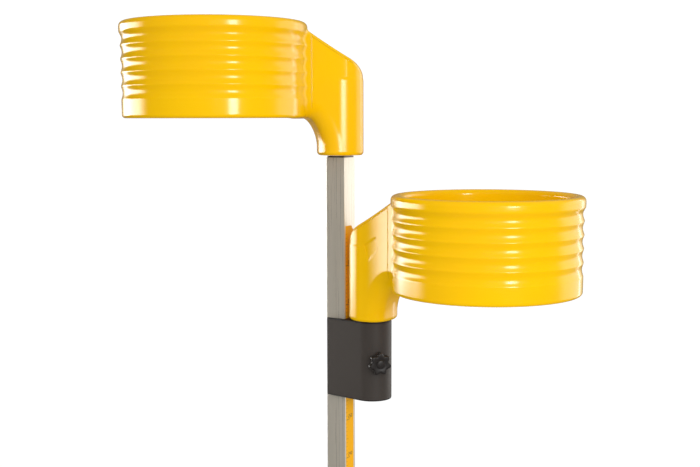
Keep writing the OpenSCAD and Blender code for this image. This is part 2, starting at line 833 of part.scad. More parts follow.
module swivel_hole(r) {
    place_swivel_clamp() cylinder(h = nose_r + 5, r = r);
}

module height_hole(r) {
    place_height_clamp() cylinder(h = carriage_half + 20, r = r);
}

module threaded_insert(from, to) {
    translate([0, 0, from]) difference() {
        cylinder(h = to - from, r = insert_r - seat_gap);
        translate([0, 0, -1]) cylinder(h = to - from + 2, r = screw_r + run_gap);
    }
}

// Pressure pad: its face is pad_gap away from the surface at distance from
module clamp_pad(from) {
    translate([0, 0, from + pad_gap]) difference() {
        cylinder(h = pad_t, r = pad_r);
        translate([0, 0, pad_t - pad_stub_l - 0.3]) cylinder(h = pad_t, r = pad_stub_r + run_gap);
    }
}

// Screw: a stub that turns in the pad, then the shank up to the knob
module clamp_screw(from, to) {
    start = from + pad_gap + pad_t;
    translate([0, 0, start - pad_stub_l]) cylinder(h = pad_stub_l + 1, r = pad_stub_r);
    translate([0, 0, start]) cylinder(h = to - start, r = screw_r);
}

module star_knob(from) {
    translate([0, 0, from]) difference() {
        union() {
            cylinder(h = collar_h + 1, r = screw_r + 8);
            translate([0, 0, collar_h]) linear_extrude(height = knob_t) knob_plan();
            translate([0, 0, collar_h + knob_t - 1]) cylinder(h = 3.5, r1 = 11, r2 = 9.5);
        }
        translate([0, 0, -1]) cylinder(h = collar_h + knob_t - 5, r = screw_r + seat_gap);
    }
}

function knob_radius(a) = knob_r - knob_lobe * (1 - cos(knob_lobes * a));
module knob_plan() {
    polygon([for (a = [0 : 4 : 356]) knob_radius(a) * [cos(a), sin(a)]]);
}

swivel_insert_out = nose_r;
swivel_knob_at = nose_r + 1.5;
height_knob_at = height_insert_out + 1.5;

module swivel_insert() {
    color([0.72, 0.6, 0.3])
        intersection() {
            place_swivel_clamp() threaded_insert(nose_bore_r - 2, swivel_insert_out + 2);
            difference() {
                translate([nose_x, 0, carriage_z]) cylinder(h = carriage_h, r = nose_r);
                translate([nose_x, 0, carriage_z - 1]) cylinder(h = carriage_h + 2, r = nose_bore_r + 1);
            }
        }
}

module swivel_pad() {
    color([0.85, 0.85, 0.83]) place_swivel_clamp() clamp_pad(tube_r);
}

module swivel_screw() {
    color([0.7, 0.7, 0.72])
        place_swivel_clamp() clamp_screw(tube_r, swivel_knob_at + collar_h + knob_t - 6);
}

module swivel_knob() {
    color([0.08, 0.08, 0.08]) place_swivel_clamp() star_knob(swivel_knob_at);
}

module height_insert() {
    color([0.72, 0.6, 0.3])
        place_height_clamp() threaded_insert(channel_half + 0.5, height_insert_out);
}

module height_pad() {
    color([0.85, 0.85, 0.83]) place_height_clamp() clamp_pad(mast_w / 2);
}

module height_screw() {
    color([0.7, 0.7, 0.72])
        place_height_clamp() clamp_screw(mast_w / 2, height_knob_at + collar_h + knob_t - 6);
}

module height_knob() {
    color([0.08, 0.08, 0.08]) place_height_clamp() star_knob(height_knob_at);
}

base_mat();
base_plate();
mast_sleeve();
sleeve_bolts();
sleeve_washers();
mast_lock_screws();
wheel_brackets();
wheel_axles();
wheel_nuts();
wheel_hub(1);  // wheel_hub_left
wheel_tyre(1);  // wheel_tyre_left
wheel_hub(-1);  // wheel_hub_right
wheel_tyre(-1);  // wheel_tyre_right
mast();
height_scale();
top_pivot();
plug_screws();
top_washer();
travel_stops();
upper_basket();
upper_bush();
carriage_body();
carriage_cap(carriage_top_z - cap_t);  // carriage_top_cap
carriage_cap(carriage_z);  // carriage_bottom_cap
glide(glide_high_z);  // glide_upper
glide(glide_low_z);  // glide_lower
rear_keepers();
keeper_screws();
swivel_washer();
swivel_tube();
lower_basket();
swivel_insert();
swivel_pad();
swivel_screw();
swivel_knob();
height_insert();
height_pad();
height_screw();
height_knob();
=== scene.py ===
"""Korfball post with two baskets: its looks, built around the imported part."""
import json
import math

import bmesh
import bpy
import numpy as np
from mathutils import Matrix, Vector

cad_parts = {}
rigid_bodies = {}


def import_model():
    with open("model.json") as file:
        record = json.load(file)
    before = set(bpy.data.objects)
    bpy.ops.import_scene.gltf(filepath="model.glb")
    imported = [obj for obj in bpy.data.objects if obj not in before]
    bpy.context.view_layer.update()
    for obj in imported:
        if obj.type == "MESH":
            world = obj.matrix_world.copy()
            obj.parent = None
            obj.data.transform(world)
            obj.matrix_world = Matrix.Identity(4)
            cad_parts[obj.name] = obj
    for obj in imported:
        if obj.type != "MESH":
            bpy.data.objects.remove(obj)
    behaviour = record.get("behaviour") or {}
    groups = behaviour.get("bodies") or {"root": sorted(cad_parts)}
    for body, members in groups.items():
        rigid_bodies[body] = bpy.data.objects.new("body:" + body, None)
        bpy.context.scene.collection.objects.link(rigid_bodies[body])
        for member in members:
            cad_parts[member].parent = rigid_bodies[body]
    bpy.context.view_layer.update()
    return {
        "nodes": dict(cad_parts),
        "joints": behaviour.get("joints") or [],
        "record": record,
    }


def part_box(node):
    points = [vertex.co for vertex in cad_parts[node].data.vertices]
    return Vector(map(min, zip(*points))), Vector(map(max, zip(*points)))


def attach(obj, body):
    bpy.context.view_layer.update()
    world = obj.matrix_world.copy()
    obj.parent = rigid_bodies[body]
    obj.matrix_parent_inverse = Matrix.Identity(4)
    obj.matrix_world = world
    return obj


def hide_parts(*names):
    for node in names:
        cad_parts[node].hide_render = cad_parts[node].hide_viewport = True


MM = 0.001

for old in list(bpy.data.objects):
    bpy.data.objects.remove(old, do_unlink=True)

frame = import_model()
nodes = frame["nodes"]
scene = bpy.context.scene


# ---------------------------------------------------------------- materials

def srgb(r, g, b):
    """Linear colour from 0-255 display values."""
    out = []
    for c in (r, g, b):
        c = c / 255
        out.append(c / 12.92 if c <= 0.04045 else ((c + 0.055) / 1.055) ** 2.4)
    return (*out, 1.0)


class Graph:
    """Adds nodes to a node tree; a value may be a constant or another node's output."""

    def __init__(self, tree):
        self.tree = tree

    def put(self, socket, value):
        if isinstance(value, bpy.types.NodeSocket):
            self.tree.links.new(value, socket)
        else:
            socket.default_value = value

    def node(self, kind, **inputs):
        made = self.tree.nodes.new(kind)
        for key, value in inputs.items():
            self.put(made.inputs[key.replace("_", " ")], value)
        return made

    def math(self, kind, a, b=0.0):
        made = self.tree.nodes.new("ShaderNodeMath")
        made.operation = kind
        self.put(made.inputs[0], a)
        self.put(made.inputs[1], b)
        return made.outputs[0]

    def remap(self, value, low, high, to_low, to_high, kind="LINEAR"):
        made = self.node("ShaderNodeMapRange", Value=value, From_Min=low, From_Max=high,
                         To_Min=to_low, To_Max=to_high)
        made.interpolation_type = kind
        return made.outputs["Result"]


class Look(Graph):
    """A procedural material: a principled surface plus noise helpers in object space."""

    def __init__(self, name, colour, rough, metallic=0.0, specular=0.5):
        self.mat = bpy.data.materials.new(name)
        self.mat.use_nodes = True
        super().__init__(self.mat.node_tree)
        self.bsdf = self.tree.nodes["Principled BSDF"]
        self.bsdf.inputs["Base Color"].default_value = colour
        self.bsdf.inputs["Roughness"].default_value = rough
        self.bsdf.inputs["Metallic"].default_value = metallic
        self.bsdf.inputs["Specular IOR Level"].default_value = specular
        self.mat.diffuse_color = colour
        self.coord = self.tree.nodes.new("ShaderNodeTexCoord")
        self.normal = None

    def noise(self, scale, stretch=(1, 1, 1), detail=3.0, roughness=0.5):
        spread = self.node("ShaderNodeMapping", Vector=self.coord.outputs["Object"],
                           Scale=stretch)
        return self.node("ShaderNodeTexNoise", Vector=spread.outputs["Vector"], Scale=scale,
                         Detail=detail, Roughness=roughness).outputs["Fac"]

    def mix(self, factor, a, b):
        made = self.tree.nodes.new("ShaderNodeMix")
        made.data_type = "RGBA"
        factor_in, a_in, b_in, colour_out = 0, 6, 7, 2
        self.put(made.inputs[factor_in], factor)
        self.put(made.inputs[a_in], a)
        self.put(made.inputs[b_in], b)
        return made.outputs[colour_out]

    def bump(self, height, distance, strength=1.0):
        made = self.node("ShaderNodeBump", Height=height, Distance=distance, Strength=strength)
        if self.normal is not None:
            self.tree.links.new(self.normal, made.inputs["Normal"])
        self.normal = made.outputs["Normal"]
        self.tree.links.new(self.normal, self.bsdf.inputs["Normal"])
        return self

    def attribute(self, name):
        made = self.tree.nodes.new("ShaderNodeAttribute")
        made.attribute_name = name
        return made.outputs["Fac"]

    def colour(self, socket):
        self.tree.links.new(socket, self.bsdf.inputs["Base Color"])
        return self

    def rough(self, socket):
        self.tree.links.new(socket, self.bsdf.inputs["Roughness"])
        return self


def painted(name, colour, rough, grain=900.0, depth=0.00006, worn=None, specular=0.4):
    """Powder coat or paint: fine grain, a little cloudiness, optional wear colour."""
    look = Look(name, colour, rough, specular=specular)
    cloud = look.noise(9, detail=4)
    look.rough(look.remap(cloud, 0.3, 0.7, rough - 0.05, rough + 0.07))
    look.bump(look.noise(grain, detail=2), depth)
    if worn is not None:
        speck = look.noise(60, detail=6, roughness=0.7)
        look.colour(look.mix(look.remap(speck, 0.72, 0.8, 0.0, 0.6), colour, worn))
    return look.mat


def metal(name, colour, rough, stretch=(1, 1, 1), grain=400.0):
    """Bare metal with fine streaks along its least stretched axis."""
    look = Look(name, colour, rough, metallic=1.0)
    streak = look.noise(grain, stretch=stretch, detail=4)
    look.rough(look.remap(streak, 0.25, 0.75, rough - 0.08, rough + 0.1))
    cloud = look.noise(7, stretch=stretch, detail=5)
    dim = tuple(c * 0.9 for c in colour[:3]) + (1.0,)
    look.colour(look.mix(cloud, dim, colour))
    look.bump(streak, 0.00003, 0.6)
    return look.mat


def basket_look(name):
    """Glossy blow-moulded plastic with a moulding line along each border of the neck, cut in as a
    shallow groove with painted shade along it.
    """
    base = (0.93, 0.54, 0.0004, 1.0)
    deep = (0.92, 0.512, 0.0003, 1.0)
    look = Look(name, base, 0.16, specular=0.5)
    look.bsdf.inputs["Subsurface Weight"].default_value = 0.04
    look.bsdf.inputs["Subsurface Radius"].default_value = (0.012, 0.006, 0.001)
    look.bsdf.inputs["Subsurface Scale"].default_value = 1.0
    cloud = look.noise(5, detail=3)
    skin = look.noise(230, detail=2)
    from_line = look.attribute("border")
    squared = look.math("MULTIPLY", from_line, from_line)
    shaded_groove = look.math("EXPONENT", look.math("MULTIPLY", squared, -1.2))
    shaded_groove = look.math("MULTIPLY", shaded_groove, look.attribute("border_shown"))
    shade = look.mix(look.remap(cloud, 0.35, 0.65, 0.0, 1.0), base, deep)
    # painted shade: the plastic is darkened to a deep orange along the moulding line's groove
    groove_shade_colour = (0.62, 0.27, 0.0, 1.0)
    look.colour(look.mix(look.math("MULTIPLY", shaded_groove, 0.4), shade, groove_shade_colour))
    look.rough(look.remap(cloud, 0.3, 0.7, 0.13, 0.19))
    look.bump(look.noise(24, detail=1), 0.0004, 0.2)
    look.bump(skin, 0.00005, 0.5)
    look.bump(look.math("MULTIPLY", shaded_groove, -1.0), 0.0009, 1.0)
    return look.mat


def mast_look(name):
    """Brushed, anodised aluminium with streaks along the mast."""
    colour = (0.69, 0.645, 0.555, 1.0)
    look = Look(name, colour, 0.28, metallic=0.5)
    streak = look.noise(520, stretch=(1, 1, 0.006), detail=5, roughness=0.6)
    broad = look.noise(60, stretch=(1, 1, 0.01), detail=3)
    look.rough(look.remap(streak, 0.25, 0.75, 0.24, 0.36))
    dim = (0.66, 0.615, 0.525, 1.0)
    look.colour(look.mix(look.remap(broad, 0.3, 0.7, 0.0, 1.0), colour, dim))
    look.bump(streak, 0.00002, 0.4)
    return look.mat


looks = {
    "basket_plastic": basket_look("basket_plastic_look"),
    "mast_aluminium": mast_look("mast_aluminium_look"),
    "carriage_paint": painted("carriage_paint_look", (0.052, 0.044, 0.039, 1.0), 0.46,
                              worn=(0.062, 0.053, 0.047, 1.0), specular=0.3),
    "keeper_paint": painted("keeper_paint_look", (0.05, 0.045, 0.042, 1.0), 0.5),
    "cap_plastic": painted("cap_plastic_look", (0.02, 0.019, 0.019, 1.0), 0.5, grain=600),
    "knob_plastic": painted("knob_plastic_look", (0.022, 0.019, 0.018, 1.0), 0.36, grain=500),
    "scale_film": painted("scale_film_look", srgb(250, 180, 6), 0.5,
                          grain=300, depth=0.00002, specular=0.12),
    "scale_ink": painted("scale_ink_look", (0.03, 0.025, 0.02, 1.0), 0.55,
                         grain=300, depth=0.00002),
    "pivot_aluminium": metal("pivot_aluminium_look", (0.13, 0.11, 0.1, 1.0), 0.4,
                             stretch=(0.01, 0.01, 1)),
    "nylon": painted("nylon_look", (0.75, 0.74, 0.7, 1.0), 0.5, grain=300),
    "washer_plastic": painted("washer_plastic_look", (0.03, 0.028, 0.027, 1.0), 0.5, grain=300),
    "stop_rubber": painted("stop_rubber_look", (0.025, 0.025, 0.026, 1.0), 0.8,
                           grain=250, depth=0.0001),
    "tube_steel": metal("tube_steel_look", (0.55, 0.55, 0.56, 1.0), 0.3,
                        stretch=(0.02, 0.02, 1)),
    "insert_brass": metal("insert_brass_look", (0.75, 0.55, 0.22, 1.0), 0.32),
    "zinc_steel": metal("zinc_steel_look", (0.62, 0.63, 0.66, 1.0), 0.36, grain=150),
    "base_paint": painted("base_paint_look", (0.05, 0.048, 0.048, 1.0), 0.48,
                          worn=(0.1, 0.095, 0.09, 1.0)),
    "mat_rubber": painted("mat_rubber_look", (0.02, 0.02, 0.021, 1.0), 0.85,
                          grain=200, depth=0.0002),
    "hub_plastic": painted("hub_plastic_look", (0.09, 0.09, 0.095, 1.0), 0.45, grain=400),
    "wheel_rubber": painted("wheel_rubber_look", (0.024, 0.024, 0.025, 1.0), 0.78,
                            grain=180, depth=0.0002),
}

body_of = {n: body for body, names in frame["record"]["behaviour"]["bodies"].items() for n in names}
slot_of = {n: o.data.materials[0].name.split(".")[0] for n, o in nodes.items()}


def dress(obj, slot):
    obj.data.materials.clear()
    obj.data.materials.append(looks[slot])


def settle(obj, node, slot=None):
    """Puts a new piece on its node's body, in its node's place and finish."""
    slot = slot or slot_of[node]
    dress(obj, slot)
    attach(obj, body_of[node])
    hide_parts(node)
    return obj


def add_mesh(name, verts, faces, smooth=True):
    mesh = bpy.data.meshes.new(name)
    mesh.from_pydata([tuple(v) for v in verts], [], faces)
    mesh.update()
    if smooth:
        mesh.shade_smooth()
    obj = bpy.data.objects.new(name, mesh)
    scene.collection.objects.link(obj)
    return obj


def coords(node):
    mesh = nodes[node].data
    co = np.empty(len(mesh.vertices) * 3)
    mesh.vertices.foreach_get("co", co)
    return co.reshape(-1, 3)


joints = {j["name"]: j for j in frame["joints"]}


# ---------------------------------------------------------------- baskets

# all in millimetres, a tenth inside the CAD's own faces
RING_R, RING_IN, RING_H = 227.9, 201.1, 231.0
RIM, FOOT = 12.0, 8.0                       # radii of the ring's top and bottom edges
ARM, DROP, SOCKET = 318.5, 93.5, 56.9       # arm's length, socket below the ring, its radius
BORE_R, BORE_DEEP = 30.0, 155.0
PITCH, COUNT, LOW_Z = 32.4, 5, 60.0         # grooves: spacing, number, lowest one's height
GROOVE_LOW, GROOVE_TOP = 3.5, 4.5           # depths of the lowest and the highest groove
INSET_LOW, INSET_TOP = 4.5, 2.5             # set-in of the ridges from the rim
SLOPE = math.radians(29.5)                  # of the neck's top edge
NECK_L, BELOW_RIM = 90.5, 26.0              # where that edge meets the ring
NECK_END, FLARE = 112.1, 27.9
FRONT, ARCH_LOW, ARCH_W = 55.0, 20.5, 37.0  # front of the socket and the arch under the neck
UNDER_R, FOOT_R = 44.0, 9.0                 # rounding of the neck's underside, socket's bottom
TOP_R, BACK_R = 9.0, 18.0                   # rounding of the neck's top, and at its back
SOCKET_H, SOCKET_R = 190.0, 4.0             # height of the socket's round column, its edge
NECK_REACH = 150.0                          # the neck ends this far short of the ring's middle
COLUMN_BLEND, RING_BLEND = 6.0, 7.0         # fillets where the neck meets them
LINE_TOP, LINE_SIDE = 7.5, 11.0             # moulding line below the neck's top, off the ring
PANEL_DEEP, PANEL_EDGE = 1.7, 1.4           # recess in the neck's side, half its soft border


def smooth(t):
    t = np.clip(t, 0, 1)
    return t * t * (3 - 2 * t)


def ring_inset(z):
    """How far the ring's outside is set in at height z above its bottom edge."""
    top_z = LOW_Z + (COUNT - 1) * PITCH
    low = INSET_LOW + (INSET_TOP - INSET_LOW) * np.clip(z / top_z, 0, 1)
    base = np.where(z > top_z, INSET_TOP * (1 - smooth((z - top_z) / (0.7 * PITCH))), low)
    u = (z - LOW_Z) / PITCH
    wave = np.where((u < -0.5) | (u > COUNT - 0.5), 0, (0.5 + 0.5 * np.cos(2 * np.pi * u)) ** 0.6)
    depth = GROOVE_LOW + (GROOVE_TOP - GROOVE_LOW) * np.clip((z - LOW_Z) / (top_z - LOW_Z), 0, 1)
    return base + wave * depth


def meet(a, b, r):
    """Rounded intersection of two distance fields."""
    u, v = np.maximum(a + r, 0), np.maximum(b + r, 0)
    return np.minimum(np.maximum(a + r, b + r), 0) + np.hypot(u, v) - r


def merge(a, b, k):
    """Smooth union of two distance fields."""
    h = np.maximum(k - np.abs(a - b), 0) / k
    return np.minimum(a, b) - h * h * k / 4


def ring_field(rho, z):
    """Distance to the ring; the grooves fade out before they reach the opening."""
    pull = smooth((rho - 203) / 11)
    r = rho + ring_inset(z) * pull
    mid, half = (RING_R + RING_IN) / 2, (RING_R - RING_IN) / 2
    rad = np.where(z > RING_H / 2, RIM, FOOT)
    a, b = np.abs(r - mid) - half + rad, np.abs(z - RING_H / 2) - RING_H / 2 + rad
    return np.minimum(np.maximum(a, b), 0) + np.hypot(np.maximum(a, 0), np.maximum(b, 0)) - rad


def neck_half(s):
    """Half the neck's width at distance s from the socket's axis."""
    return SOCKET + FLARE * (np.maximum(s, 0) / NECK_END) ** 1.6


def under_line():
    """Profile of the neck's front and underside, from the socket's bottom to the ring."""
    power, steps = 1.7, 24
    pts = [(FRONT, -200.0), (FRONT, ARCH_LOW)]
    for i in range(1, steps):
        t = i / steps
        out = 1 - (1 - t ** power) ** (1 / power)
        pts.append((FRONT + ARCH_W * out, ARCH_LOW + (DROP - ARCH_LOW) * t))
    pts += [(FRONT + ARCH_W, DROP), (FRONT + 400, DROP)]
    return np.array(pts)


UNDER = under_line()


def under_field(s, z):
    """Distance to the underside's profile, negative in the solid."""
    best = None
    for (x0, z0), (x1, z1) in zip(UNDER[:-1], UNDER[1:]):
        dx, dz = x1 - x0, z1 - z0
        t = np.clip(((s - x0) * dx + (z - z0) * dz) / (dx * dx + dz * dz), 0, 1)
        gap = np.hypot(s - x0 - t * dx, z - z0 - t * dz)
        best = gap if best is None else np.minimum(best, gap)
    edge = np.interp(z, UNDER[1:-1, 1], UNDER[1:-1, 0])
    solid = (z > DROP) | (s < edge)
    return np.where(solid, -best, best)


def neck_slope_gap(s, z):
    """Distance above the neck's sloping top edge."""
    line = DROP + RING_H - BELOW_RIM + (s - NECK_L) * math.tan(SLOPE)
    return (z - line) * math.cos(SLOPE)


def neck_field(s, y, z):
    """Distance to the neck with its socket."""
    side = np.where(s < 0, np.hypot(s, y) - SOCKET, (np.abs(y) - neck_half(s)) * 0.98)
    r_top = TOP_R + (BACK_R - TOP_R) * smooth((-14 - s) / 36)
    body = meet(side, neck_slope_gap(s, z), r_top)
    body = meet(body, under_field(s, z), UNDER_R)
    column = meet(meet(np.hypot(s, y) - SOCKET, -z, FOOT_R), z - SOCKET_H, SOCKET_R)
    body = meet(body, -z, FOOT_R)
    return merge(body, column, COLUMN_BLEND)


# the panel's corners, as distance from the socket's axis and height
PANEL = np.array([(12.0, 193.5), (48.0, 213.9), (55.9, 183.3), (22.8, 153.9)])


def panel_field(s, z):
    """Distance to the panel's outline, negative inside it."""
    best = None
    for (x0, z0), (x1, z1) in zip(PANEL, np.roll(PANEL, -1, 0)):
        dx, dz = x1 - x0, z1 - z0
        out = ((s - x0) * -dz + (z - z0) * dx) / math.hypot(dx, dz)
        best = out if best is None else np.maximum(best, out)
    return best


def basket_field(x, y, z):
    """Signed distance to the basket, socket axis on the origin, arm along +X, millimetres."""
    rho = np.hypot(x - ARM, y)
    ring = ring_field(rho, z - DROP)
    neck = neck_field(x, y, z)
    neck = np.maximum(neck, x - ARM + NECK_REACH)
    neck = np.maximum(neck, RING_IN + 10 - rho)
    dent = smooth((PANEL_EDGE - panel_field(x, z)) / (2 * PANEL_EDGE)) * PANEL_DEEP * (y < 0)
    body = merge(neck + dent, ring, RING_BLEND)
    bore = np.maximum(np.hypot(x, y) - BORE_R, z - BORE_DEEP)
    return np.maximum(body, -bore)


def surface_nets(field, xs, ys, zs):
    """Vertices and quads of the zero surface of a sampled field."""
    inside = field < 0
    shape = tuple(n - 1 for n in field.shape)

    def corner(i, j, k, a):
        return a[i:i + shape[0], j:j + shape[1], k:k + shape[2]]

    count = sum(corner(i, j, k, inside).astype(np.int8)
                for i in (0, 1) for j in (0, 1) for k in (0, 1))
    active = (count > 0) & (count < 8)
    index = np.full(shape, -1, np.int64)
    index[active] = np.arange(active.sum())
    ai, aj, ak = np.nonzero(active)
    total = np.zeros((len(ai), 3))
    number = np.zeros(len(ai))
    axes = (xs, ys, zs)
    base = np.stack([xs[ai], ys[aj], zs[ak]], 1)
    step = np.array([a[1] - a[0] for a in axes])
    for axis in range(3):
        u, v = [a for a in range(3) if a != axis]
        for du in (0, 1):
            for dv in (0, 1):
                lo = [ai, aj, ak]
                lo[u] = lo[u] + du
                lo[v] = lo[v] + dv
                hi = list(lo)
                hi[axis] = hi[axis] + 1
                f0, f1 = field[tuple(lo)], field[tuple(hi)]
                cross = (f0 < 0) != (f1 < 0)
                t = np.where(cross, f0 / np.where(cross, f0 - f1, 1), 0)
                p = base.copy()
                p[:, u] += du * step[u]
                p[:, v] += dv * step[v]
                p[:, axis] += t * step[axis]
                total += p * cross[:, None]
                number += cross
    verts = total / number[:, None]
    faces = []
    for axis in range(3):
        u, v = [(1, 2), (2, 0), (0, 1)][axis]
        sl0, sl1 = [slice(None)] * 3, [slice(None)] * 3
        sl0[axis], sl1[axis] = slice(0, -1), slice(1, None)
        a, b = inside[tuple(sl0)], inside[tuple(sl1)]
        for first, flip in ((a & ~b, False), (~a & b, True)):
            pos = list(np.nonzero(first))
            ok = (pos[u] > 0) & (pos[v] > 0) & (pos[u] < shape[u]) & (pos[v] < shape[v])
            pos = [p[ok] for p in pos]
            quad = []
            for du, dv in ((-1, -1), (0, -1), (0, 0), (-1, 0)):
                q = list(pos)
                q[u] = q[u] + du
                q[v] = q[v] + dv
                quad.append(index[tuple(q)])
            quad = np.stack(quad[::-1] if flip else quad, 1)
            faces.append(quad)
    return verts, np.concatenate(faces)


def gradient(p, h=0.25):
    """Slope of the basket's field at each point, by central differences."""
    g = np.empty_like(p)
    for axis in range(3):
        d = np.zeros(3)
        d[axis] = h
        g[:, axis] = (basket_field(*(p + d).T) - basket_field(*(p - d).T)) / (2 * h)
    return g


def basket_mesh():
    """Vertices, quads, normals and border values of one basket, in millimetres."""
    step = 2.9
    xs = np.arange(-60, ARM + 232, step)
    ys = np.arange(-232, 233, step)
    zs = np.arange(-4, DROP + RING_H + 4, step)
    field = basket_field(xs[:, None, None], ys[None, :, None], zs[None, None, :])
    verts, quads = surface_nets(field, xs, ys, zs)
    for _ in range(4):
        g = gradient(verts)
        f = basket_field(*verts.T)
        move = f / np.maximum((g * g).sum(1), 0.2)
        verts -= np.clip(move, -1.5, 1.5)[:, None] * g
    g = gradient(verts, 0.6)
    normals = g / np.maximum(np.linalg.norm(g, axis=1), 1e-6)[:, None]
    verts[:, 2] = np.clip(verts[:, 2], 0.02, DROP + RING_H - 0.02)
    s, y, z = verts.T
    # signed distance to the moulding line: along the neck's top, then down beside the ring
    top = neck_slope_gap(s, z) + LINE_TOP
    join = RING_R + LINE_SIDE - np.hypot(s - ARM, y)
    border = np.clip(np.maximum(top, join), -8, 8)
    side = np.where((s > -20) & (np.abs(y) > 40) & (s < 118), 1.0, 0.0)
    shown = side * smooth((z - 112) / 12)
    return verts, quads, normals, border, shown


def place_basket(name, node, data, axis, turn):
    """Stands a copy of the basket's mesh on an axis, its arm turned from +X."""
    verts, quads, normals, border, shown = data
    c, s = math.cos(turn), math.sin(turn)
    spin = np.array([[c, -s, 0], [s, c, 0], [0, 0, 1]])
    mesh = bpy.data.meshes.new(name)
    world = verts @ spin.T * MM + np.array(axis)
    mesh.vertices.add(len(world))
    mesh.vertices.foreach_set("co", world.astype(np.float32).ravel())
    mesh.loops.add(quads.size)
    mesh.loops.foreach_set("vertex_index", quads.astype(np.int32).ravel())
    mesh.polygons.add(len(quads))
    mesh.polygons.foreach_set("loop_start", np.arange(0, quads.size, 4, dtype=np.int32))
    mesh.update(calc_edges=True)
    mesh.shade_smooth()
    mesh.normals_split_custom_set_from_vertices((normals @ spin.T).tolist())
    for key, values in (("border", border), ("border_shown", shown)):
        layer = mesh.attributes.new(key, "FLOAT", "POINT")
        layer.data.foreach_set("value", values.astype(np.float32))
    obj = bpy.data.objects.new(name, mesh)
    scene.collection.objects.link(obj)
    return settle(obj, node)


def arm_turn(node, axis):
    """Direction of a basket's arm, from the middle of its ring."""
    co = coords(node)
    high = co[co[:, 2] > co[:, 2].max() - 0.02]
    middle = (high[:, :2].min(0) + high[:, :2].max(0)) / 2
    return math.atan2(middle[1] - axis[1], middle[0] - axis[0])


upper_axis = joints["upper_goal_swivel"]["pos_m"]
lower_axis = joints["lower_goal_swivel"]["pos_m"]
basket = basket_mesh()
upper_at = (upper_axis[0], upper_axis[1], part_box("upper_basket")[0][2])
lower_at = (lower_axis[0], lower_axis[1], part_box("lower_basket")[0][2])
place_basket("upper_basket_shell", "upper_basket", basket, upper_at,
             arm_turn("upper_basket", upper_at))
place_basket("lower_basket_shell", "lower_basket", basket, lower_at,
             arm_turn("lower_basket", lower_at))


# ---------------------------------------------------------------- hard pieces

def refine(node, bevel, segments=3, angle=32):
    """A copy of a CAD piece with its sharp edges rounded and smooth shading."""
    mesh = nodes[node].data.copy()
    mesh.name = node + "_fine"
    if "custom_normal" in mesh.attributes:
        mesh.attributes.remove(mesh.attributes["custom_normal"])
    work = bmesh.new()
    work.from_mesh(mesh)
    bmesh.ops.remove_doubles(work, verts=work.verts, dist=2e-6)
    bmesh.ops.dissolve_limit(work, angle_limit=math.radians(0.6),
                             verts=work.verts, edges=work.edges)
    work.to_mesh(mesh)
    work.free()
    mesh.shade_smooth()
    obj = bpy.data.objects.new(node + "_fine", mesh)
    scene.collection.objects.link(obj)
    mod = obj.modifiers.new("round", "BEVEL")
    mod.width = bevel * MM
    mod.segments = segments
    mod.limit_method = "ANGLE"
    mod.angle_limit = math.radians(angle)
    mod.harden_normals = True
    mod.use_clamp_overlap = True
    dg = bpy.context.evaluated_depsgraph_get()
    done = bpy.data.meshes.new_from_object(obj.evaluated_get(dg))
    obj.modifiers.clear()
    obj.data = done
    bpy.data.meshes.remove(mesh)
    done.name = node + "_fine"
    return settle(obj, node)


# bevels in millimetres
for node, bevel in (
    ("mast", 0.5), ("top_pivot", 0.5), ("carriage_body", 0.9), ("carriage_top_cap", 0.5),
    ("carriage_bottom_cap", 0.5), ("rear_keepers", 0.5), ("mast_sleeve", 1.0), ("base_plate", 1.5),
    ("base_mat", 0.8), ("wheel_brackets", 0.8), ("sleeve_bolts", 0.7), ("sleeve_washers", 0.3),
    ("mast_lock_screws", 0.7), ("wheel_axles", 0.7), ("wheel_nuts", 0.6), ("wheel_hub_left", 1.0),
    ("wheel_hub_right", 1.0), ("wheel_tyre_left", 3.0), ("wheel_tyre_right", 3.0),
    ("travel_stops", 0.5), ("keeper_screws", 0.3),
):
    refine(node, bevel)


# ---------------------------------------------------------------- star knobs

def clamp_frame(joint, node):
    """Matrix whose +Z runs out along a clamp's screw, and where its knob starts and ends on it."""
    j = joints[joint]
    z = Vector(j["axis"]).normalized()
    x = Vector((0, 0, 1))
    y = z.cross(x)
    spin = Matrix((x, y, z)).transposed().to_4x4()
    place = Matrix.Translation(Vector(j["pos_m"])) @ spin
    along = (coords(node) - np.array(j["pos_m"])) @ np.array(z)
    return place, along.min() / MM, along.max() / MM


def star_knob(name, node, joint):
    """A lathe-like surface whose rows follow the knob's lobes, from its collar to its hub."""
    place, start, end = clamp_frame(joint, node)
    lobes, lobe_depth, knob_r, steps = 7, 3.2, 28.9, 168
    collar, thick = start + 9.0, start + 26.0
    low_edge, top_edge = 3.4, 4.6

    def radius(a, inset):
        return knob_r - lobe_depth * (1 - math.cos(lobes * a)) - inset

    rows = []

    def row(z, r_of):
        rows.append([(r_of(a) * math.cos(a), r_of(a) * math.sin(a), z)
                     for a in (2 * math.pi * i / steps for i in range(steps))])

    def round_rows(*profile):
        for z, r in profile:
            row(z, lambda a: r)

    round_rows((start, 5.1), (start, 12.2), (start + 0.8, 13.0), (collar - 1.2, 13.0),
               (collar - 0.2, 14.0))
    row(collar, lambda a: radius(a, low_edge + 3.0))
    for i in range(7):
        t = math.pi / 2 * i / 6
        row(collar + low_edge * (1 - math.cos(t)),
            lambda a: radius(a, low_edge * (1 - math.sin(t))))
    for i in range(9):
        t = math.pi / 2 * i / 8
        row(thick - top_edge * (1 - math.sin(t)),
            lambda a: radius(a, top_edge * (1 - math.cos(t))))
    round_rows((thick - 0.05, 15.5), (thick - 0.9, 12.6), (thick - 0.9, 11.2),
               (thick + 1.2, 10.8), (end - 0.5, 10.0), (end - 0.05, 8.6), (end - 0.05, 0.01))
    verts = [v for r in rows for v in r]
    faces = []
    for k in range(len(rows) - 1):
        for i in range(steps):
            n = (i + 1) % steps
            faces.append((k * steps + i, k * steps + n, (k + 1) * steps + n, (k + 1) * steps + i))
    world = [place @ (Vector(v) * MM) for v in verts]
    obj = add_mesh(name, world, faces)
    obj.data.set_sharp_from_angle(angle=math.radians(40))
    return settle(obj, node)


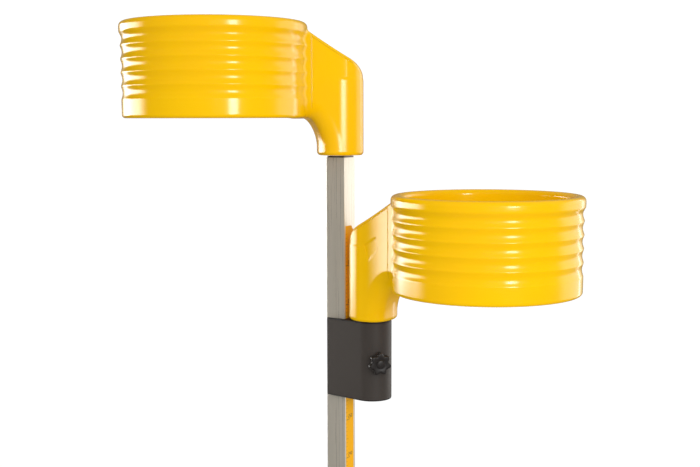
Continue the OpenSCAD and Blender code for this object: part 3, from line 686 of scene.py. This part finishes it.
star_knob("swivel_star_knob", "swivel_knob", "swivel_knob_turn")
star_knob("height_star_knob", "height_knob", "height_knob_turn")


# ---------------------------------------------------------------- height scale

# which strokes make up each digit, named as on a seven-segment display
SEGMENTS = {0: "abcdef", 1: "bc", 2: "abged", 3: "abgcd", 4: "fgbc", 5: "afgcd", 6: "afgedc",
            7: "abc", 8: "abcdefg", 9: "abcdfg"}


def height_scale():
    """A thin film with one cut corner, and printed ticks and numbers standing on it."""
    (x0, y0, z0), (x1, y1, z1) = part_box("height_scale")
    film_x = x0 + (x1 - x0) * 0.6
    cut = 0.012
    outline = [(y0, z0), (y1, z0), (y1, z1 - cut), (y1 - cut * 0.8, z1), (y0, z1)]
    n = len(outline)
    verts = [(x0, y, z) for y, z in outline] + [(film_x, y, z) for y, z in outline]
    faces = [tuple(range(n))[::-1], tuple(range(n, 2 * n))]
    faces += [(i, (i + 1) % n, n + (i + 1) % n, n + i) for i in range(n)]
    settle(add_mesh("height_scale_film", verts, faces, smooth=False), "height_scale")

    bars = []

    def bar(ya, yb, za, zb):
        bars.append((ya, yb, za, zb))

    def digit(value, y, z, w, h, t):
        spots = {"a": (y, y + w, z + h - t, z + h), "d": (y, y + w, z, z + t),
                 "g": (y, y + w, z + h / 2 - t / 2, z + h / 2 + t / 2),
                 "b": (y + w - t, y + w, z + h / 2, z + h), "c": (y + w - t, y + w, z, z + h / 2),
                 "f": (y, y + t, z + h / 2, z + h), "e": (y, y + t, z, z + h / 2)}
        for s in SEGMENTS[value]:
            bar(*spots[s])

    # a tick each centimetre: the lowest one's height, its number in tens, how many
    first, first_number, count = 1.3957, 14, 161
    tick_y, digit_y = y0 + 0.0008, y0 + 0.0125
    digit_w, digit_h, stroke, spacing = 0.0046, 0.0088, 0.0011, 0.0068
    for i in range(count):
        z = first + i * 0.01
        if z > z1 - cut or z < z0 + 0.002:
            continue
        reach = 0.018 if i % 10 == 0 else (0.011 if i % 5 == 0 else 0.006)
        thick = stroke if i % 10 == 0 else 0.0006
        bar(tick_y, tick_y + reach, z - thick / 2, z + thick / 2)
        if i % 10 == 0:
            for k, d in enumerate(f"{first_number + i // 10}0"):
                digit(int(d), digit_y + k * spacing, z + 0.0035, digit_w, digit_h, stroke)
    verts, faces = [], []
    ink_x = x1 - 0.00001
    for ya, yb, za, zb in bars:
        k = len(verts)
        corners = ((ya, za), (yb, za), (yb, zb), (ya, zb))
        verts += [(x, y, z) for x in (film_x, ink_x) for y, z in corners]
        faces += [(k + 4, k + 5, k + 6, k + 7)]
        faces += [(k + i, k + (i + 1) % 4, k + 4 + (i + 1) % 4, k + 4 + i) for i in range(4)]
    marks = add_mesh("height_scale_marks", verts, faces, smooth=False)
    settle(marks, "height_scale", "scale_ink")


height_scale()

for name, obj in nodes.items():
    dress(obj, slot_of[name])


# ---------------------------------------------------------------- floor, light and camera

def area(name, at, toward, width, height, power, glossy=True, diffuse=True):
    """A rectangular light that the camera itself doesn't see."""
    data = bpy.data.lights.new(name, "AREA")
    data.shape = "RECTANGLE"
    data.size, data.size_y = width, height
    data.energy = power
    obj = bpy.data.objects.new(name, data)
    obj.location = at
    obj.rotation_mode = "QUATERNION"
    obj.rotation_quaternion = (Vector(toward) - Vector(at)).to_track_quat("-Z", "Y")
    obj.visible_glossy = glossy
    obj.visible_diffuse = diffuse
    obj.visible_camera = False
    scene.collection.objects.link(obj)


# a softbox and a strip that only show as highlights, and a fill that only lights
area("right_softbox", (3.6, -2.5, 3.55), (0.2, -0.1, 3.1), 0.8, 1.2, 52, diffuse=False)
area("strip", (1.13, 2.32, 3.0), (0.3, 0.0, 3.0), 0.12, 2.0, 2.5, diffuse=False)
area("side_fill", (2.6, -2.3, 3.6), (0.1, 0.0, 2.9), 2.6, 2.2, 64, glossy=False)

world = bpy.data.worlds.new("studio")
scene.world = world
world.use_nodes = True
world.cycles.sampling_method = "NONE"
world.node_tree.nodes.clear()
sky = Graph(world.node_tree)
path = sky.node("ShaderNodeLightPath")
where = sky.node("ShaderNodeTexCoord")
toward_x, toward_y, toward_z = sky.node("ShaderNodeSeparateXYZ",
                                        Vector=where.outputs["Generated"]).outputs


def fade(value, low, high, to_low, to_high):
    return sky.remap(value, low, high, to_low, to_high, kind="SMOOTHSTEP")


def product(*values):
    result = values[0]
    for value in values[1:]:
        result = sky.math("MULTIPLY", result, value)
    return result


# mirrored surroundings: pale behind on the right, a broad softbox on the left, dim in front
east = math.radians(59)
facing_east = sky.math("ADD", product(toward_x, math.cos(east)), product(toward_y, math.sin(east)))
above = fade(toward_z, -0.32, -0.16, 0.22, 1.0)
pale = product(fade(facing_east, 0.8, 0.95, 0.0, 1.0), above, 1.6)
backdrop = product(fade(toward_y, 0.1, 0.5, 0.0, 0.22), above)
# angle from -X, growing towards -Y, in radians
west = sky.math("ARCTAN2", product(toward_y, -1.0), product(toward_x, -1.0))
softbox = product(fade(west, -0.55, -0.15, 0.0, 9.0), fade(west, 0.34, 0.66, 1.0, 0.0),
                  fade(toward_z, -0.2, -0.13, 0.0, 1.0), fade(toward_z, 0.1, 0.2, 1.0, 0.0))
mirror = sky.math("ADD", sky.math("ADD", 0.01, backdrop), sky.math("ADD", softbox, pale))
# soft light from all round, stronger from above
soft = fade(toward_z, -0.7, 0.8, 0.56, 0.8)

mirrored = sky.node("ShaderNodeBackground", Color=(1, 0.98, 0.95, 1), Strength=mirror)
lit = sky.node("ShaderNodeBackground", Color=(1, 0.99, 0.97, 1), Strength=soft)
white = sky.node("ShaderNodeBackground", Color=(1, 1, 1, 1), Strength=1.05)


def choose(test, otherwise, chosen):
    made = sky.node("ShaderNodeMixShader")
    for socket, value in zip(made.inputs, (test, otherwise, chosen)):
        sky.put(socket, value)
    return made.outputs[0]


lighting = choose(path.outputs["Is Diffuse Ray"], mirrored.outputs[0], lit.outputs[0])
seen = choose(path.outputs["Is Camera Ray"], lighting, white.outputs[0])
sky.node("ShaderNodeOutputWorld", Surface=seen)

floor = add_mesh("studio_floor", [(-3, -3, 0), (3, -3, 0), (3, 3, 0), (-3, 3, 0)],
                 [(0, 1, 2, 3)], smooth=False)
floor_look = Look("studio_floor_look", (0.86, 0.86, 0.86, 1.0), 0.9)
floor.data.materials.append(floor_look.mat)
floor.visible_glossy = False

camera = bpy.data.objects.new("camera", bpy.data.cameras.new("camera"))
scene.collection.objects.link(camera)
scene.camera = camera
camera.data.sensor_width = 36
camera.data.lens = 57.55
camera.data.clip_end = 100
place = (1.4581, -2.4414, 3.2645)
yaw, pitch, roll = math.radians(30.37), math.radians(-5.81), math.radians(-0.12)
forward = Vector((-math.sin(yaw) * math.cos(pitch), math.cos(yaw) * math.cos(pitch),
                  math.sin(pitch)))
right = Vector((math.cos(yaw), math.sin(yaw), 0))
up = right.cross(forward)
right, up = (right * math.cos(roll) + up * math.sin(roll),
             up * math.cos(roll) - right * math.sin(roll))
turn = Matrix((right, up, -forward)).transposed().to_4x4()
camera.matrix_world = Matrix.Translation(place) @ turn

scene.view_settings.view_transform = "Standard"
scene.view_settings.look = "None"
